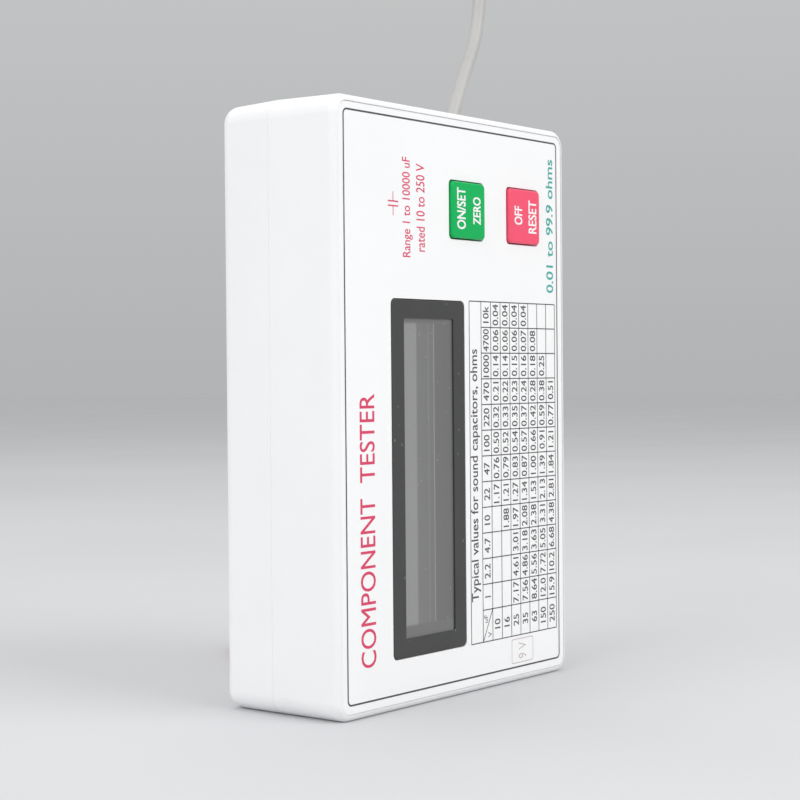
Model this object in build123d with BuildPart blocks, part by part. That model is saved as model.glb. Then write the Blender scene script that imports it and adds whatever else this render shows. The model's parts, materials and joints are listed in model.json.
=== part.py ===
"""Component tester: a hand-held capacitor tester in a two-shell case with a display, two keys and a clip lead.

The tester stands on its short end. +Z runs up its length, the front faces -Y and +X is to the viewer's right.
The origin is the middle of the footprint, on the surface that the tester stands on. All sizes are in mm.
"""

from build123d import *
from math import cos, pi, radians, sin, tan
import os

os.makedirs("parts", exist_ok=True)

# ---------------------------------------------------------------- driving dimensions: case
case_width = 80.0
case_height = 120.0
case_depth = 30.0
wall = 2.0
front_wall = 2.5
corner_radius = 4.0
front_edge_radius = 1.5
back_edge_radius = 3.0
front_shell_depth = 16.5
front_draft = 1.0
rear_draft = 2.0
seam_edge_radius = 0.15
lip_height = 1.4
lip_width = 0.9
key_proud = 0.5

# The keys stand proud, so the case is set back by half of that to keep the footprint centred.
front_y = -case_depth / 2 + key_proud / 2
back_y = front_y + case_depth
seam_y = front_y + front_shell_depth
front_inner_y = front_y + front_wall
back_inner_y = back_y - wall
mid_z = case_height / 2

# ---------------------------------------------------------------- driving dimensions: front panel
recess_margin = 1.3
recess_depth = 0.4
overlay_thickness = 0.25
overlay_radius = 2.2
display_x = -10.47
display_z = 45.6
bezel_width = 24.2
bezel_height = 71.0
bezel_radius = 1.2
bezel_set_back = 0.05
bezel_sheet = 0.3
bezel_side = 0.7
polarizer_thickness = 0.2
glass_thickness = 2.5
layer_gap = 0.05
window_width = 16.4
window_height = 63.7
key_hole = 12.2
key_gap = 0.3
key_radius = 1.0
key_z = 99.9
key_x = {"green": 2.8, "red": 23.25}

# ---------------------------------------------------------------- driving dimensions: insides
screw_x = 33.6
screw_z_inset = 6.3
board_front_y = -3.0
board_thickness = 1.6
board_rear_y = board_front_y + board_thickness
lcd_board_front_y = -8.05
lcd_board_width = 36.0
lcd_board_height = 80.0
lcd_hole_dx = 31.0
lcd_hole_dz = 75.0
battery_width = 26.5
battery_depth = 17.5
battery_length = 45.5
battery_x = 22.85
battery_y = back_inner_y - 2.3 - battery_depth / 2
battery_low_z = 11.5
door_width = 27.4
door_low_z = 11.1
door_high_z = 64.3
door_gap = 0.2
gland_x = 19.8
lead_diameter = 3.0
thin_lead_diameter = 1.8
floor_gap = 0.6

# ---------------------------------------------------------------- driving dimensions: lead and clips
coil_x = 41.0
coil_y = 44.0
coil_inner = 11.0
coil_outer = 20.0
coil_height = 5.6
clip_pivot_y = 33.5
clip_x = {"red": 3.2, "black": 13.6}
clip_moving_side = {"red": -1, "black": 1}


# ---------------------------------------------------------------- helpers
def facing(y):
    """A plane at depth y whose normal points out of the front, with x to the right and y up."""
    return Plane.XZ.offset(-y)


def save(builder, label):
    """Label a finished piece and write it out."""
    builder.part.label = label
    export_step(builder.part, f"parts/{label}.step")


def tube(points, diameter, label):
    """A cord's tube along straight runs joined by the largest tangent arcs its runs allow."""
    vectors = [Vector(*point) for point in points]
    radii = []
    for before, here, after in zip(vectors, vectors[1:], vectors[2:]):
        turn = (here - before).get_angle(after - here)
        shorter = min((here - before).length, (after - here).length)
        radii.append(0.45 * shorter / tan(radians(turn / 2)))
    with BuildPart() as cord:
        with BuildLine() as path:
            FilletPolyline(*vectors, radius=radii)
        with BuildSketch(path.line ^ 0):
            Circle(diameter / 2)
        sweep()
    length = sum(edge.length for edge in path.edges())
    share = cord.part.volume / (pi * diameter**2 / 4 * length)
    print(label, "length", round(length, 1), "smallest radius", round(min(radii), 1), "volume share", round(share, 3))
    print("   radii", [round(radius, 1) for radius in radii])
    save(cord, label)
    return cord


corner_places = [
    (side * screw_x, height)
    for side in (-1, 1)
    for height in (screw_z_inset, case_height - screw_z_inset)
]
board_screw_places = [(-32.0, 15.0), (-32.0, 105.0), (33.0, 105.0), (33.0, 73.0)]
lcd_screw_places = [
    (display_x + i * lcd_hole_dx / 2, display_z + j * lcd_hole_dz / 2) for i in (-1, 1) for j in (-1, 1)
]
front_taper = front_shell_depth * tan(radians(front_draft))
rear_taper = (case_depth - front_shell_depth) * tan(radians(rear_draft))
panel_width = case_width - 2 * front_taper
panel_height = case_height - front_taper

# ---------------------------------------------------------------- case: front shell
with BuildPart() as front_shell:
    with BuildSketch(facing(seam_y)):
        with Locations((0, mid_z)):
            RectangleRounded(case_width, case_height, corner_radius)
    with BuildSketch(facing(front_y)):
        with Locations((0, panel_height / 2)):
            RectangleRounded(panel_width, panel_height, corner_radius - front_taper)
    loft(ruled=True)
    seam_edges = front_shell.faces().sort_by(Axis.Y)[-1].edges()
    fillet(seam_edges, seam_edge_radius)
    panel_edges = front_shell.faces().sort_by(Axis.Y)[0].edges()
    fillet(panel_edges, front_edge_radius)
    # hollow, open at the seam
    with BuildSketch(facing(seam_y)):
        with Locations((0, mid_z)):
            RectangleRounded(case_width - 2 * wall - 0.4, case_height - 2 * wall, corner_radius - wall)
    extrude(amount=front_shell_depth - front_wall, mode=Mode.SUBTRACT)
    # rabbet for the rear shell's lip
    with BuildSketch(facing(seam_y)):
        with Locations((0, mid_z)):
            RectangleRounded(case_width - 2 * lip_width, case_height - 2 * lip_width, corner_radius - lip_width)
    extrude(amount=lip_height + 0.1, mode=Mode.SUBTRACT)
    # shallow recess for the printed overlay
    with BuildSketch(facing(front_y)):
        with Locations((0, panel_height / 2)):
            RectangleRounded(
                panel_width - 2 * recess_margin, panel_height - 2 * recess_margin, overlay_radius + 0.2
            )
    extrude(amount=-recess_depth, mode=Mode.SUBTRACT)
    # display and key openings
    with BuildSketch(facing(front_y)):
        with Locations((display_x, display_z)):
            RectangleRounded(bezel_width + 0.3, bezel_height + 0.3, bezel_radius)
        with Locations(*[(x, key_z) for x in key_x.values()]):
            RectangleRounded(key_hole, key_hole, key_radius)
    extrude(amount=-front_wall, mode=Mode.SUBTRACT)
    # screw bosses and board standoffs
    with BuildSketch(facing(front_inner_y)):
        with Locations(*corner_places):
            Circle(3.2)
    extrude(amount=-(seam_y - front_inner_y))
    with BuildSketch(facing(front_inner_y)):
        with Locations(*board_screw_places):
            Circle(2.3)
    extrude(amount=-(board_front_y - front_inner_y))
    with BuildSketch(facing(front_inner_y)):
        with Locations(*lcd_screw_places):
            Circle(2.3)
    extrude(amount=-(lcd_board_front_y - front_inner_y))
    # pilot holes
    with BuildSketch(facing(seam_y)):
        with Locations(*corner_places):
            Circle(1.45)
    extrude(amount=10, mode=Mode.SUBTRACT)
    with BuildSketch(facing(board_front_y)):
        with Locations(*board_screw_places):
            Circle(0.95)
    extrude(amount=6, mode=Mode.SUBTRACT)
    with BuildSketch(facing(lcd_board_front_y)):
        with Locations(*lcd_screw_places):
            Circle(0.95)
    extrude(amount=3.2, mode=Mode.SUBTRACT)
    # half of the hole for the cable gland
    with BuildSketch(Plane.XY.offset(case_height - wall - 1)):
        with Locations((gland_x, seam_y)):
            Circle(2.6)
    extrude(amount=wall + 2, mode=Mode.SUBTRACT)
save(front_shell, "front_shell")

# ---------------------------------------------------------------- case: rear shell
with BuildPart() as rear_shell:
    with BuildSketch(facing(seam_y)):
        with Locations((0, mid_z)):
            RectangleRounded(case_width, case_height, corner_radius)
    with BuildSketch(facing(back_y)):
        with Locations((0, (case_height - rear_taper) / 2)):
            RectangleRounded(case_width - 2 * rear_taper, case_height - rear_taper, corner_radius - rear_taper)
    loft(ruled=True)
    seam_edges = rear_shell.faces().sort_by(Axis.Y)[0].edges()
    fillet(seam_edges, seam_edge_radius)
    back_edges = rear_shell.faces().sort_by(Axis.Y)[-1].edges()
    fillet(back_edges, back_edge_radius)
    # hollow, open at the seam
    with BuildSketch(facing(seam_y)):
        with Locations((0, mid_z)):
            RectangleRounded(case_width - 2 * wall - 1.0, case_height - 2 * wall - 0.6, corner_radius - wall)
    extrude(amount=-(back_inner_y - seam_y), mode=Mode.SUBTRACT)
    # lip that enters the front shell
    with BuildSketch(facing(seam_y)):
        with Locations((0, mid_z)):
            RectangleRounded(
                case_width - 2 * lip_width - 0.2, case_height - 2 * lip_width - 0.2, corner_radius - lip_width
            )
            RectangleRounded(
                case_width - 2 * wall - 1.0,
                case_height - 2 * wall - 0.6,
                corner_radius - wall,
                mode=Mode.SUBTRACT,
            )
    extrude(amount=lip_height)
    # the front shell's corner bosses stand where the lip would pass
    with BuildSketch(facing(seam_y)):
        with Locations(*corner_places):
            Circle(3.5)
    extrude(amount=lip_height, mode=Mode.SUBTRACT)
    # screw bosses with their counterbores
    with BuildSketch(facing(back_inner_y)):
        with Locations(*corner_places):
            Circle(4.3)
    extrude(amount=back_inner_y - seam_y)
    with BuildSketch(facing(back_y)):
        with Locations(*corner_places):
            Circle(3.0)
    extrude(amount=6.5, mode=Mode.SUBTRACT)
    with BuildSketch(facing(back_y)):
        with Locations(*corner_places):
            Circle(1.6)
    extrude(amount=back_y - seam_y, mode=Mode.SUBTRACT)
    # battery opening, with a wall between the battery and the board
    with BuildSketch(facing(back_y)):
        with Locations((battery_x, (door_low_z + door_high_z) / 2)):
            RectangleRounded(door_width + 2 * door_gap, door_high_z - door_low_z + 2 * door_gap, 1.2)
    extrude(amount=wall + 0.01, mode=Mode.SUBTRACT)
    with BuildSketch(facing(back_inner_y)):
        with Locations((battery_x - battery_width / 2 - 1.0, 38.0)):
            Rectangle(1.2, 58.0)
    extrude(amount=back_inner_y - seam_y)
    # half of the hole for the cable gland
    with BuildSketch(Plane.XY.offset(case_height - wall - 1)):
        with Locations((gland_x, seam_y)):
            Circle(2.6)
    extrude(amount=wall + 2, mode=Mode.SUBTRACT)
save(rear_shell, "rear_shell")

# ---------------------------------------------------------------- case: overlay, screws, gland
with BuildPart() as front_overlay:
    with BuildSketch(facing(front_y + recess_depth)):
        with Locations((0, panel_height / 2)):
            RectangleRounded(
                panel_width - 2 * recess_margin - 0.3, panel_height - 2 * recess_margin - 0.3, overlay_radius
            )
        with Locations((display_x, display_z)):
            RectangleRounded(bezel_width + 0.3, bezel_height + 0.3, bezel_radius, mode=Mode.SUBTRACT)
        with Locations(*[(x, key_z) for x in key_x.values()]):
            RectangleRounded(key_hole, key_hole, key_radius, mode=Mode.SUBTRACT)
    extrude(amount=overlay_thickness)
save(front_overlay, "front_overlay")


def screws(places, head_y, head_radius, head_height, shank_radius, shank_length, label):
    """Cross-recessed pan-head screws driven from the back, one solid each."""
    with BuildPart() as group:
        with BuildSketch(facing(head_y)):
            with Locations(*places):
                Circle(head_radius)
        extrude(amount=-head_height)
        fillet(group.faces().sort_by(Axis.Y)[-len(places) :].edges(), head_height * 0.35)
        with BuildSketch(facing(head_y)):
            with Locations(*places):
                Circle(shank_radius)
        extrude(amount=shank_length)
        with BuildSketch(facing(head_y + head_height)):
            with Locations(*places):
                Rectangle(head_radius * 1.1, head_radius * 0.26)
                Rectangle(head_radius * 0.26, head_radius * 1.1)
        extrude(amount=head_height * 0.6, mode=Mode.SUBTRACT)
    save(group, label)


screws(corner_places, back_y - 6.5, 2.7, 1.9, 1.4, 14.0, "case_screws")

with BuildPart() as cable_gland:
    with BuildSketch(Plane.XZ.offset(-seam_y)):
        with BuildLine():
            Polyline(
                (gland_x + lead_diameter / 2, case_height - wall - 1.9),
                (gland_x + 3.5, case_height - wall - 1.9),
                (gland_x + 3.5, case_height - wall - 0.4),
                (gland_x + 2.5, case_height - wall - 0.4),
                (gland_x + 2.5, case_height + 0.1),
                (gland_x + 3.4, case_height + 0.1),
                (gland_x + 2.7, case_height + 1.8),
                (gland_x + lead_diameter / 2, case_height + 1.8),
                close=True,
            )
        make_face()
    revolve(axis=Axis((gland_x, seam_y, 0), (0, 0, 1)))
save(cable_gland, "cable_gland")

# ---------------------------------------------------------------- display module
with BuildPart() as lcd_bezel:
    with BuildSketch(facing(lcd_board_front_y)):
        with Locations((display_x, display_z)):
            RectangleRounded(bezel_width, bezel_height, bezel_radius)
    extrude(amount=lcd_board_front_y - front_y - bezel_set_back)
    fillet(lcd_bezel.faces().sort_by(Axis.Y)[0].edges(), 0.25)
    with BuildSketch(facing(lcd_board_front_y)):
        with Locations((display_x, display_z)):
            Rectangle(bezel_width - 2 * bezel_side, bezel_height - 2 * bezel_side)
    extrude(amount=lcd_board_front_y - front_y - bezel_set_back - bezel_sheet, mode=Mode.SUBTRACT)
    with BuildSketch(facing(front_y)):
        with Locations((display_x, display_z)):
            RectangleRounded(window_width, window_height, 0.3)
    extrude(amount=-1, mode=Mode.SUBTRACT)
save(lcd_bezel, "lcd_bezel")

polarizer_y = front_y + bezel_set_back + bezel_sheet + layer_gap
glass_y = polarizer_y + polarizer_thickness + layer_gap
glass_rear_y = glass_y + glass_thickness
stack_height = lcd_board_front_y - glass_rear_y - layer_gap
lcd_layers = {
    "lcd_polarizer": (polarizer_y, polarizer_thickness, bezel_width - 3.0, bezel_height - 3.0),
    "lcd_glass": (glass_y, glass_thickness, bezel_width - 1.8, bezel_height - 1.8),
}
for label, (layer_y, thickness, width, height) in lcd_layers.items():
    with BuildPart() as layer:
        with BuildSketch(facing(layer_y)):
            with Locations((display_x, display_z)):
                Rectangle(width, height)
        extrude(amount=-thickness)
    save(layer, label)

with BuildPart() as lcd_spacer_frame:
    with BuildSketch(facing(lcd_board_front_y)):
        with Locations((display_x, display_z)):
            Rectangle(bezel_width - 1.8, bezel_height - 1.8)
            Rectangle(window_width, window_height, mode=Mode.SUBTRACT)
        with Locations((display_x - 9.8, display_z), (display_x + 9.8, display_z)):
            Rectangle(1.8, 60.0, mode=Mode.SUBTRACT)
    extrude(amount=stack_height)
save(lcd_spacer_frame, "lcd_spacer_frame")

with BuildPart() as lcd_zebra_strips:
    with BuildSketch(facing(lcd_board_front_y)):
        with Locations((display_x - 9.8, display_z), (display_x + 9.8, display_z)):
            Rectangle(1.6, 59.6)
    extrude(amount=stack_height)
save(lcd_zebra_strips, "lcd_zebra_strips")

with BuildPart() as lcd_board:
    with BuildSketch(facing(lcd_board_front_y)):
        with Locations((display_x, display_z)):
            Rectangle(lcd_board_width, lcd_board_height)
        with Locations(*lcd_screw_places):
            Circle(1.25, mode=Mode.SUBTRACT)
    extrude(amount=-board_thickness)
save(lcd_board, "lcd_board")
lcd_board_rear_y = lcd_board_front_y + board_thickness

with BuildPart() as lcd_driver_chips:
    with BuildSketch(facing(lcd_board_rear_y)):
        with Locations((display_x + 1, display_z + 14), (display_x + 1, display_z - 16)):
            Circle(7.0)
    extrude(amount=-1.3)
    fillet(lcd_driver_chips.faces().sort_by(Axis.Y)[-2:].edges(), 1.0)
save(lcd_driver_chips, "lcd_driver_chips")

screws(lcd_screw_places, lcd_board_rear_y, 1.9, 1.2, 0.9, 4.4, "lcd_screws")

header_x = display_x - lcd_board_width / 2 + 2.0
header_places = [(header_x, 14.2 + 2.54 * i) for i in range(16)]
with BuildPart() as lcd_header:
    with BuildSketch(facing(lcd_board_rear_y)):
        with Locations((header_x, 14.2 + 2.54 * 7.5)):
            Rectangle(2.4, 2.54 * 16)
    extrude(amount=-2.5)
    with BuildSketch(facing(lcd_board_rear_y)):
        with Locations(*header_places):
            Rectangle(0.64, 0.64)
    extrude(amount=-(board_front_y - lcd_board_rear_y))
save(lcd_header, "lcd_header")

# ---------------------------------------------------------------- keys and their switches
key_size = key_hole - 2 * key_gap
for colour, x in key_x.items():
    with BuildPart() as key:
        with BuildSketch(facing(front_inner_y + 0.1)):
            with Locations((x, key_z)):
                RectangleRounded(key_size, key_size, key_radius)
        extrude(amount=front_wall + 0.1 + key_proud)
        fillet(key.faces().sort_by(Axis.Y)[0].edges(), 0.4)
        with BuildSketch(facing(front_inner_y + 0.1)):
            with Locations((x, key_z)):
                RectangleRounded(key_size + 2.4, key_size + 2.4, key_radius)
        extrude(amount=-1.0)
        with BuildSketch(facing(front_inner_y + 1.1)):
            with Locations((x, key_z)):
                Circle(2.4)
        extrude(amount=-2.4)
        with BuildSketch(facing(front_inner_y + 3.5)):
            with Locations((x, key_z)):
                Rectangle(3.2, 3.2)
        extrude(amount=1.9, mode=Mode.SUBTRACT)
    save(key, f"{colour}_button")
    switch_front_y = board_front_y - 3.6
    with BuildPart() as switch_body:
        with BuildSketch(facing(board_front_y)):
            with Locations((x, key_z)):
                RectangleRounded(12.0, 12.0, 0.8)
        extrude(amount=board_front_y - switch_front_y)
        with BuildSketch(facing(switch_front_y)):
            with Locations((x, key_z)):
                Circle(3.1)
        extrude(amount=-2.4, mode=Mode.SUBTRACT)
    save(switch_body, f"{colour}_switch_body")
    with BuildPart() as plunger:
        with BuildSketch(facing(switch_front_y + 1.6)):
            with Locations((x, key_z)):
                Circle(3.04)
        extrude(amount=2.2)
        with BuildSketch(facing(switch_front_y - 0.6)):
            with Locations((x, key_z)):
                Rectangle(3.14, 3.14)
        extrude(amount=2.9)
    save(plunger, f"{colour}_switch_plunger")

# ---------------------------------------------------------------- main board
cut_x = battery_x - battery_width / 2 - 2.8
cut_z = 68.0
with BuildPart() as main_board:
    with BuildSketch(facing(board_front_y)):
        with BuildLine():
            Polyline(
                (-35.5, 11.2),
                (cut_x, 11.2),
                (cut_x, cut_z),
                (35.5, cut_z),
                (35.5, 109.0),
                (-35.5, 109.0),
                close=True,
            )
        make_face()
        with Locations(*board_screw_places):
            Circle(1.3, mode=Mode.SUBTRACT)
    extrude(amount=-board_thickness)
save(main_board, "main_board")
screws(board_screw_places, board_rear_y, 2.0, 1.3, 0.9, 6.0, "board_screws")


def chip(x, z, length, width, leg_count):
    """A dual in-line package on the back of the main board, its legs 2.54 mm apart along x."""
    with BuildPart() as package:
        with BuildSketch(facing(board_rear_y + 0.5)):
            with Locations((x, z)):
                Rectangle(length, width)
        extrude(amount=-3.3)
        with BuildSketch(facing(board_rear_y + 2.2)):
            with Locations((x, z)):
                with GridLocations(2.54, width + 1.0, leg_count, 2):
                    Rectangle(0.8, 1.1)
        extrude(amount=-0.3)
        with BuildSketch(facing(board_rear_y)):
            with Locations((x, z)):
                with GridLocations(2.54, width + 1.9, leg_count, 2):
                    Rectangle(0.5, 0.3)
        extrude(amount=-2.5)
    return package


microcontroller = chip(-14.5, 50.0, 35.2, 6.8, 14)
save(microcontroller, "microcontroller")

left_chip = chip(-22.0, 27.0, 9.8, 6.4, 4)
right_chip = chip(-6.0, 27.0, 9.8, 6.4, 4)
with BuildPart() as analog_chips:
    add(left_chip.part)
    add(right_chip.part)
save(analog_chips, "analog_chips")

with BuildPart() as crystal:
    with BuildSketch(facing(board_rear_y)):
        with Locations((-14.5, 61.0)):
            SlotOverall(11.2, 4.6)
    extrude(amount=-3.4)
    fillet(crystal.faces().sort_by(Axis.Y)[-1].edges(), 0.5)
save(crystal, "crystal")

capacitor_sizes = [(-2.0, 62.0, 3.2, 11.0), (-30.0, 62.0, 2.6, 9.0), (2.0, 80.0, 4.0, 12.0)]
with BuildPart() as electrolytic_capacitors:
    for x, z, radius, height in capacitor_sizes:
        with BuildSketch(facing(board_rear_y)):
            with Locations((x, z)):
                Circle(radius)
        extrude(amount=-height)
    fillet(electrolytic_capacitors.faces().sort_by(Axis.Y)[-3:].edges(), 0.5)
save(electrolytic_capacitors, "electrolytic_capacitors")

with BuildPart() as film_capacitors:
    with BuildSketch(facing(board_rear_y)):
        with Locations((-14.0, 14.8), (-1.0, 14.8), (2.0, 100.0)):
            RectangleRounded(7.3, 3.4, 0.4)
    extrude(amount=-7.5)
save(film_capacitors, "film_capacitors")


def axial_parts(places, body_radius, body_length, wire_radius, wire_span, label):
    """Parts with a wire at each end, lying along X on the back of the main board, one solid each."""
    axis_y = board_rear_y + body_radius + 0.15
    with BuildPart() as group:
        for x, z in places:
            with BuildSketch(Plane.YZ.offset(x - body_length / 2)):
                with Locations((axis_y, z)):
                    Circle(body_radius)
            extrude(amount=body_length)
            with BuildSketch(Plane.YZ.offset(x - wire_span / 2)):
                with Locations((axis_y, z)):
                    Circle(wire_radius)
            extrude(amount=wire_span)
            with BuildSketch(facing(board_rear_y)):
                with Locations((x - wire_span / 2, z), (x + wire_span / 2, z)):
                    Circle(wire_radius)
            extrude(amount=board_rear_y - axis_y - wire_radius)
    save(group, label)


resistor_places = [(-25.0, 78.0 + 3.2 * i) for i in range(8)] + [(-11.0, 84.4 + 3.2 * i) for i in range(6)]
axial_parts(resistor_places, 1.15, 6.2, 0.3, 9.6, "resistors")
axial_parts([(13.0, 88.0), (13.0, 82.5)], 2.0, 6.6, 0.55, 11.0, "protection_diodes")

with BuildPart() as voltage_regulator:
    with BuildSketch(facing(board_rear_y + 3.0)):
        with Locations((-24.0, 71.0), (-14.0, 71.0)):
            Circle(2.4)
    extrude(amount=-4.6)
    with BuildSketch(facing(board_rear_y + 3.0)):
        with Locations((-24.0, 69.0), (-14.0, 69.0)):
            Rectangle(5.2, 1.6)
    extrude(amount=-4.6, mode=Mode.SUBTRACT)
    with BuildSketch(facing(board_rear_y)):
        for x in (-24.0, -14.0):
            with Locations((x - 1.27, 71.3), (x, 71.3), (x + 1.27, 71.3)):
                Rectangle(0.5, 0.4)
    extrude(amount=-3.2)
save(voltage_regulator, "regulator_and_transistor")

trimmer_x = 27.5
trimmer_z = 84.0
with BuildPart() as trimmer_body:
    with BuildSketch(facing(board_rear_y)):
        with Locations((trimmer_x, trimmer_z)):
            Rectangle(6.8, 6.8)
    extrude(amount=-4.4)
    with BuildSketch(facing(board_rear_y + 4.4)):
        with Locations((trimmer_x, trimmer_z)):
            Circle(2.4)
    extrude(amount=1.6, mode=Mode.SUBTRACT)
save(trimmer_body, "trimmer_body")

with BuildPart() as trimmer_rotor:
    with BuildSketch(facing(board_rear_y + 2.85)):
        with Locations((trimmer_x, trimmer_z)):
            Circle(2.34)
    extrude(amount=-1.5)
    with BuildSketch(facing(board_rear_y + 4.35)):
        with Locations((trimmer_x, trimmer_z)):
            Rectangle(3.2, 0.6)
            Rectangle(0.6, 3.2)
    extrude(amount=0.8, mode=Mode.SUBTRACT)
save(trimmer_rotor, "trimmer_rotor")

# ---------------------------------------------------------------- battery, its door and its wires
battery_top_z = battery_low_z + battery_length
with BuildPart() as battery:
    with BuildSketch(Plane.XY.offset(battery_low_z)):
        with Locations((battery_x, battery_y)):
            RectangleRounded(battery_width, battery_depth, 2.0)
    extrude(amount=battery_length)
    fillet(battery.faces().sort_by(Axis.Z)[-1].edges(), 0.8)
    fillet(battery.faces().sort_by(Axis.Z)[0].edges(), 0.8)
save(battery, "battery")

with BuildPart() as battery_terminals:
    with BuildSketch(Plane.XY.offset(battery_top_z)):
        with Locations((battery_x - 6.35, battery_y)):
            Circle(2.85)
        with Locations((battery_x + 6.35, battery_y)):
            RegularPolygon(4.0, 6)
            Circle(2.95, mode=Mode.SUBTRACT)
    extrude(amount=2.4)
save(battery_terminals, "battery_terminals")

with BuildPart() as battery_snap:
    with BuildSketch(Plane.XY.offset(battery_top_z + 2.5)):
        with Locations((battery_x, battery_y)):
            SlotOverall(25.4, 12.0)
    extrude(amount=3.0)
    fillet(battery_snap.faces().sort_by(Axis.Z)[-1].edges(), 1.0)
save(battery_snap, "battery_snap")

snap_top_z = battery_top_z + 5.5
wire_start_y = battery_y + 0.5
for side, label in ((-1, "battery_wire_black"), (1, "battery_wire_red")):
    wire_x = battery_x + 3.0 * side
    land_x = battery_x + 2.0 * side
    wire_points = [
        (wire_x, wire_start_y, snap_top_z),
        (wire_x, wire_start_y, snap_top_z + 5.0),
        (wire_x + 1.0 * side, wire_start_y + 2.6, snap_top_z + 9.0),
        (land_x, wire_start_y + 1.0, snap_top_z + 13.5),
        (land_x, board_rear_y, snap_top_z + 13.5),
    ]
    tube(wire_points, 1.3, label)

door_mid_z = (door_low_z + door_high_z) / 2
with BuildPart() as battery_door:
    with BuildSketch(facing(back_y)):
        with Locations((battery_x, door_mid_z)):
            RectangleRounded(door_width, door_high_z - door_low_z, 1.0)
    extrude(amount=wall)
    # grip grooves near the top edge
    with BuildSketch(facing(back_y)):
        with Locations((battery_x, door_high_z - 6.5)):
            with GridLocations(0, 2.0, 1, 4):
                RectangleRounded(14.0, 0.9, 0.4)
    extrude(amount=0.5, mode=Mode.SUBTRACT)
    # tabs that reach under the lower rim
    with BuildSketch(facing(back_inner_y)):
        with Locations((battery_x - 8.5, door_low_z + 1.2), (battery_x + 1.0, door_low_z + 1.2)):
            Rectangle(5.0, 1.8)
    extrude(amount=1.4)
    with BuildSketch(facing(back_inner_y - 0.2)):
        with Locations((battery_x - 8.5, door_low_z + 0.15), (battery_x + 1.0, door_low_z + 0.15)):
            Rectangle(5.0, 3.9)
    extrude(amount=1.2)
save(battery_door, "battery_door")

with BuildPart() as door_foam:
    with BuildSketch(facing(back_inner_y)):
        with Locations((battery_x, door_mid_z - 2.0)):
            Rectangle(20.0, 34.0)
    extrude(amount=2.1)
save(door_foam, "door_foam")

# ---------------------------------------------------------------- lead: inside the case
inner_end_z = 97.0
lead_y = board_rear_y + lead_diameter / 2 + 0.4
inner_points = [
    (gland_x, seam_y, case_height + 1.8),
    (gland_x, seam_y, case_height - 5.0),
    (gland_x + 0.2, lead_y, case_height - 12.0),
    (gland_x, lead_y, inner_end_z),
]
tube(inner_points, lead_diameter, "inner_lead")

with BuildPart() as lead_clamp:
    with BuildSketch(Plane.XY.offset(inner_end_z + 3.0)):
        with BuildLine():
            Line((gland_x - 5.5, board_rear_y), (gland_x - 1.8, board_rear_y))
            Line((gland_x - 1.8, board_rear_y), (gland_x - 1.8, lead_y))
            ThreePointArc((gland_x - 1.8, lead_y), (gland_x, lead_y + 1.8), (gland_x + 1.8, lead_y))
            Line((gland_x + 1.8, lead_y), (gland_x + 1.8, board_rear_y))
            Line((gland_x + 1.8, board_rear_y), (gland_x + 5.5, board_rear_y))
            Line((gland_x + 5.5, board_rear_y), (gland_x + 5.5, board_rear_y + 1.2))
            Line((gland_x + 5.5, board_rear_y + 1.2), (gland_x + 3.0, board_rear_y + 1.2))
            Line((gland_x + 3.0, board_rear_y + 1.2), (gland_x + 3.0, lead_y))
            ThreePointArc((gland_x + 3.0, lead_y), (gland_x, lead_y + 3.0), (gland_x - 3.0, lead_y))
            Line((gland_x - 3.0, lead_y), (gland_x - 3.0, board_rear_y + 1.2))
            Line((gland_x - 3.0, board_rear_y + 1.2), (gland_x - 5.5, board_rear_y + 1.2))
            Line((gland_x - 5.5, board_rear_y + 1.2), (gland_x - 5.5, board_rear_y))
        make_face()
    extrude(amount=4.5)
save(lead_clamp, "lead_clamp")

# ---------------------------------------------------------------- lead: outside the case
lead_z = floor_gap + lead_diameter / 2
lead_points = [
    (gland_x, seam_y, case_height + 1.5),
    (24.0, 2.0, 130.5),
    (30.7, 2.0, 142.5),
    (33.3, 2.9, 161.0),
    (44.0, 10.9, 176.2),
    (58.6, 21.4, 175.5),
    (66.4, 26.8, 161.2),
    (62.8, 26.1, 146.2),
    (53.2, 25.9, 130.5),
    (48.1, 25.2, 114.0),
    (46.4, 22.6, 92.0),
    (46.2, 20.0, 66.0),
    (46.2, 17.8, 42.0),
    (46.5, 17.1, 25.5),
    (48.1, 19.4, 13.0),
    (51.3, 25.0, 5.0),
    (55.4, 31.9, lead_z),
    (58.2, 37.4, lead_z),
]
tube(lead_points, lead_diameter, "test_lead")

with BuildPart() as test_lead_coil:
    with BuildSketch(Plane.XZ.offset(-coil_y)):
        with Locations((coil_x + (coil_inner + coil_outer) / 2, floor_gap + coil_height / 2)):
            RectangleRounded(coil_outer - coil_inner, coil_height, 1.4)
    revolve(axis=Axis((coil_x, coil_y, 0), (0, 0, 1)))
save(test_lead_coil, "test_lead_coil")

tie_angle = 150.0
tie_plane = Plane(
    origin=(coil_x, coil_y, 0),
    x_dir=(cos(radians(tie_angle)), sin(radians(tie_angle)), 0),
    z_dir=(sin(radians(tie_angle)), -cos(radians(tie_angle)), 0),
)
tie_thickness = floor_gap - 0.05
with BuildPart() as lead_tie:
    with BuildSketch(tie_plane):
        with Locations(((coil_inner + coil_outer) / 2, floor_gap + coil_height / 2)):
            RectangleRounded(
                coil_outer - coil_inner + 2 * tie_thickness, coil_height + 2 * tie_thickness, 1.9
            )
            RectangleRounded(coil_outer - coil_inner, coil_height, 1.4, mode=Mode.SUBTRACT)
    extrude(amount=3.0, both=True)
save(lead_tie, "lead_tie")

tail_points = [
    (52.1, 58.2, 5.2),
    (48.5, 62.5, 4.8),
    (42.9, 65.5, 2.9),
    (36.5, 66.0, lead_z),
]
tube(tail_points, lead_diameter, "test_lead_tail")

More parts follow.
